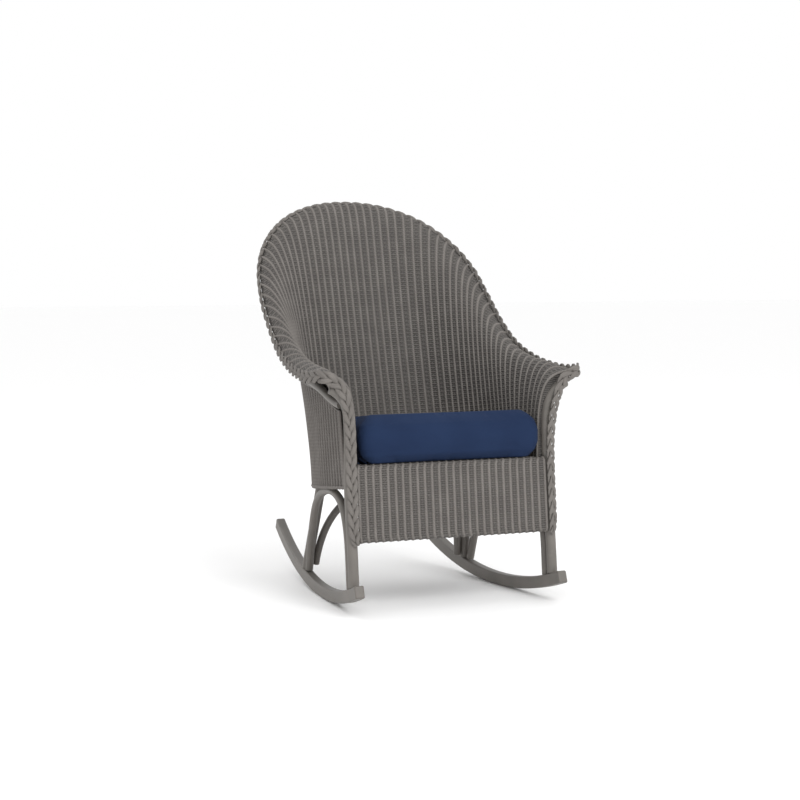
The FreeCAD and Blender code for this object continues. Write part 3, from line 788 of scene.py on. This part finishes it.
braid = dict(
    thick=0.009, gap=0.0019, drop=0.01, tipTurn=1.3, turn=0.4, standoff={10: 1.3, 11: 2.2},
    postX=[0.52, 0.24, 0.1, 0.03, 0.015, 0.01, 0.0, -0.12],
    postY=[-0.084, -0.081, -0.062, -0.045, -0.035, -0.034, -0.034, -0.036],
    postZ=[0.95, 0.88, 0.8, 0.7, 0.58, 0.42, 0.3, 0.262],
)
braidLook = dict(radius=0.0058, sides=12, flat=0.42, step=0.003, lay=0.096, sweep=0.0092, lift=0.0024,
                 roll=0.35, taper=0.025, endShare=0.55, armWide=0.18, armReach=1.4, coarse=2400)
post = dict(
    half=0.275, lean=[0.0, 0.0, 0.0, 0.0, 0.12, 0.4, 0.72, 1.0],
    y=[0.0, 0.0, 0.0, -0.02, -0.034, -0.042, -0.042, -0.0625],
    z=[0.04, 0.3, 0.58, 0.8, 0.865, 0.91, 0.935, 0.996],
)
rails = dict(y=-0.0035, topZ=0.337, bottomZ=0.166)
apron = dict(half=0.26145, edge=0.0035, ribs=27, wrap=0.0088, reach=0.0133, slant=0.6, pitch=0.0057,
             sway=0.0011, turnSteps=14, faceSteps=24, hem=0.004)
# sizes of the dark liners behind the weave, which are painted shade
apronShadeLiner = dict(half=0.259, front=-0.0162, rear=-0.0152)
shadeLinerSheet = dict(thick=0.001, trim=0.001, samples=60)
shellLook = dict(ribs=65, middle=0.003, reach=0.004, step=0.008, warpStep=1.5, short=0.0, tuck=0,
                 margin=0.003, pitch=0.0058, sway=0.0011)
skirtLook = dict(ribs=67, middle=0.003, reach=0.0, lead=0.008, step=0.01, warpStep=1.5, short=0.001,
                 tuck=0.005, tuckOut=0.002, tuckDrop=0.2, margin=0.003, pitch=0.0058, sway=0.0011)
ribTube = dict(radius=0.004, sides=8, flat=0.8)
skirtRibTube = dict(radius=0.0042, sides=8, flat=1.15)
warpTube = dict(radius=0.0014, sides=4, flat=1.0)
weftTube = dict(radius=0.0025, sides=6, flat=0.5)
weltTube = dict(radius=0.0022, sides=8, flat=1.0, out=0.003)
cushion = dict(
    width=0.492, rearWidth=0.470, depth=0.512, thick=0.118, frontY=-0.05, bottomZ=0.3496, corner=0.04,
    rearCorner=0.21, ear=0.013, neckY=0.006, earFade=0.012,
    heights=[0.0, 0.1, 0.3, 0.6, 0.84, 0.96, 1.0], insets=[0.2, 0.07, 0.01, 0.0, 0.06, 0.19, 0.42],
    cornerShare=0.3, cornerSteps=13, neckRun=0.05, waist=0.45, shrink=0.005, voxel=0.0055,
    quickVoxel=0.012, pressure=4.0, frames=20, cap=0.012, topRoom=0.004, frontRoom=0.002,
    rearRoom=0.006, fill=0.85,
)
fibre = dict(name="wovenFibre", dark=(90, 86, 83), light=(101, 97, 93), shade=(66, 63, 60), strands=2,
             lay=0.009, patch=22.0, fine=900.0, relief=0.0004, rough=0.62)
# painted light: the ribs get a lighter copy of the woven fibre, standing for the light on the raised cords
# above the shaded wefts
litRibFibre = dict(fibre, name="litRibFibre", dark=(108, 103, 99), light=(119, 114, 110), shade=(90, 86, 82))
braidFibre = dict(fibre, name="braidedFibre", dark=(110, 105, 101), light=(122, 117, 112), strands=9, lay=0.3)
# painted shade: a darker copy of the fibre for the liner sheets that fill the weave's holes
shadeLinerFibre = dict(fibre, name="shadeLinerFibre", dark=(60, 57, 55), light=(68, 65, 62), shade=(44, 42, 40))
polePaintLook = dict(mottle=14.0, grain=700.0, rub=46.0, dark=(99, 95, 90), light=(108, 103, 98),
                     worn=(120, 115, 109), relief=0.0003, rough=0.36)
clothLook = dict(thread=0.0016, slub=420.0, wash=9.0, dark=(22, 36, 63), light=(27, 42, 70),
                 threadTone=(36, 52, 82), sheen=0.015, sheenRough=0.45, gloss=0.12, relief=0.0003, rough=0.78)
slatLook = dict(grain=60.0, mottle=9.0, dark=(96, 91, 87), light=(112, 107, 102), relief=0.0004, rough=0.5)
zincLook = dict(spangle=900.0, fine=1500.0, dark=(150, 150, 152), light=(186, 186, 188), relief=0.0001,
                metal=0.9, rough=0.32)

finishes = dict(
    painted_pole=polePaint(polePaintLook), woven_fibre=fibreTwist(fibre),
    braided_fibre=fibreTwist(braidFibre), cushion_cloth=cushionCloth(clothLook),
    slat_wood=slatPaint(slatLook), zinc_steel=zincSteel(zincLook),
)
# the liner material is painted shade, standing for the shadow seen through the weave
shadeLiner = fibreTwist(shadeLinerFibre)
# the ribs' material is the lighter copy of the fibre, which is painted light
ribs = fibreTwist(litRibFibre)
for subpart in frame["record"]["subparts"]:
    for place in frame["nodes"][subpart["node"]].material_slots:
        place.material = finishes[subpart["material_slot"]]
print("materials made")

shellSheet = shellPoles()
shellLanes = Lanes(shellSheet, shellLook)
shellLanes.widen(postLine)
rows = weftLines(shellLanes, shellLook)
halfway = len(rows) * 2 // 5
# painted shade: a dark liner sheet behind the shell's weave
sheetPiece("shell_shade_liner", shellLanes, shadeLinerSheet, shadeLiner, ["woven_shell"])
threadPiece("shell_ribs", ribLines(shellLanes, shellLook), ribTube, ribs)
threadPiece("shell_warps", warpLines(shellLanes, shellLook), warpTube, finishes["woven_fibre"])
threadPiece("shell_wefts_low", rows[:halfway], weftTube, finishes["woven_fibre"])
threadPiece("shell_wefts_high", rows[halfway:], weftTube, finishes["woven_fibre"])

skirtLanes = Lanes(skirtPoles(shellSheet), skirtLook)
skirtLanes.widen(lambda line: line + np.array([0.0, -skirtLook["lead"], 0.0]))
# painted shade: a dark liner sheet behind the skirt's weave
sheetPiece("skirt_shade_liner", skirtLanes, shadeLinerSheet, shadeLiner, ["woven_skirt"])
threadPiece("skirt_ribs", ribLines(skirtLanes, skirtLook), skirtRibTube, ribs)
threadPiece("skirt_warps", warpLines(skirtLanes, skirtLook), warpTube, finishes["woven_fibre"])
threadPiece("skirt_wefts", weftLines(skirtLanes, skirtLook), weftTube, finishes["woven_fibre"])
tops = [skirtLanes.at(k, skirtLanes.lengths[k:k + 1]) for k in range(0, len(skirtLanes.lengths), 2)]
weltSpots = np.array([spot[0] + out[0] * weltTube["out"] for spot, out in tops])
weltOuts = np.array([out[0] for spot, out in tops])
threadPiece("skirt_welt", [(weltSpots, weltOuts)], weltTube, finishes["braided_fibre"])

apronRibs, apronWarps, apronWefts = apronLines()
low = (-apronShadeLiner["half"], apronShadeLiner["front"], rails["bottomZ"])
high = (apronShadeLiner["half"], apronShadeLiner["rear"], rails["topZ"])
# painted shade: a dark box liner behind the apron's weave
boxSheet("apron_shade_liner", low, high, shadeLiner, ["woven_apron"])
threadPiece("apron_ribs", apronRibs, ribTube, ribs)
threadPiece("apron_warps", apronWarps, warpTube, finishes["woven_fibre"])
threadPiece("apron_wefts", apronWefts, weftTube, finishes["woven_fibre"])

places, facings = braidPlaces()
flip = np.array([-1.0, 1.0, 1.0])
wholePlaces = np.concatenate([places[:0:-1] * flip, places])
wholeFacings = np.concatenate([facings[:0:-1] * flip, facings])
covered = ["rim_braid", "post_braid_left", "post_braid_right"]
strands = braidLines(wholePlaces, wholeFacings, braidLook)
threadPiece("rim_plait", strands, braidLook, finishes["braided_fibre"], covered)
print("weave and braid made")

makeCushion(finishes["cushion_cloth"])
print("cushion made")


def makeFloor(look):
    mesh = bpy.data.meshes.new("floor")
    reach = look["reach"]
    corners = [(-reach, -reach, 0), (reach, -reach, 0), (reach, reach, 0), (-reach, reach, 0)]
    mesh.from_pydata(corners, [], [(0, 1, 2, 3)])
    mesh.materials.append(floorPaper(look))
    floor = makePiece("floor", mesh)


def addLamp(name, look, target):
    lamp = bpy.data.lights.new(name, "AREA")
    lamp.shape = "DISK"
    lamp.size = look["size"]
    lamp.energy = look["power"]
    holder = bpy.data.objects.new(name, lamp)
    bpy.context.scene.collection.objects.link(holder)
    holder.location = look["place"]
    holder.rotation_euler = (Vector(look["place"]) - Vector(target)).to_track_quat("Z", "Y").to_euler()


def addCamera(view):
    turn, height = view["azimuth"], view["height"]
    back = Vector((math.sin(turn) * math.cos(height), -math.cos(turn) * math.cos(height), math.sin(height)))
    data = bpy.data.cameras.new("camera")
    data.lens = view["lens"]
    data.sensor_width = view["sensor"]
    camera = bpy.data.objects.new("camera", data)
    bpy.context.scene.collection.objects.link(camera)
    camera.location = view["place"]
    camera.rotation_euler = back.to_track_quat("Z", "Y").to_euler()
    bpy.context.scene.camera = camera


photoView = dict(azimuth=math.radians(-23), height=math.radians(4.4143), lens=80.55, sensor=36.0,
                 place=(-1.8737, -4.4118, 0.8716))
floorLook = dict(reach=30.0, tone=(253, 253, 253), mottle=3.0, rough=0.85)
lamps = dict(key=dict(place=(0.4, -4.2, 3.6), size=2.4, power=120),
             rim=dict(place=(-0.6, 3.2, 3.6), size=2.0, power=25))
lampTarget = (0, 0, 0.5)
skyLook = dict(color=(1, 1, 1, 1), strength=1.0)

makeFloor(floorLook)
for name, look in lamps.items():
    addLamp(name, look, lampTarget)
addCamera(photoView)
world = bpy.data.worlds.new("studio")
world.use_nodes = True
sky = world.node_tree.nodes["Background"]
sky.inputs["Color"].default_value = skyLook["color"]
sky.inputs["Strength"].default_value = skyLook["strength"]
bpy.context.scene.world = world
bpy.context.scene.view_settings.view_transform = "Standard"
print("studio made")
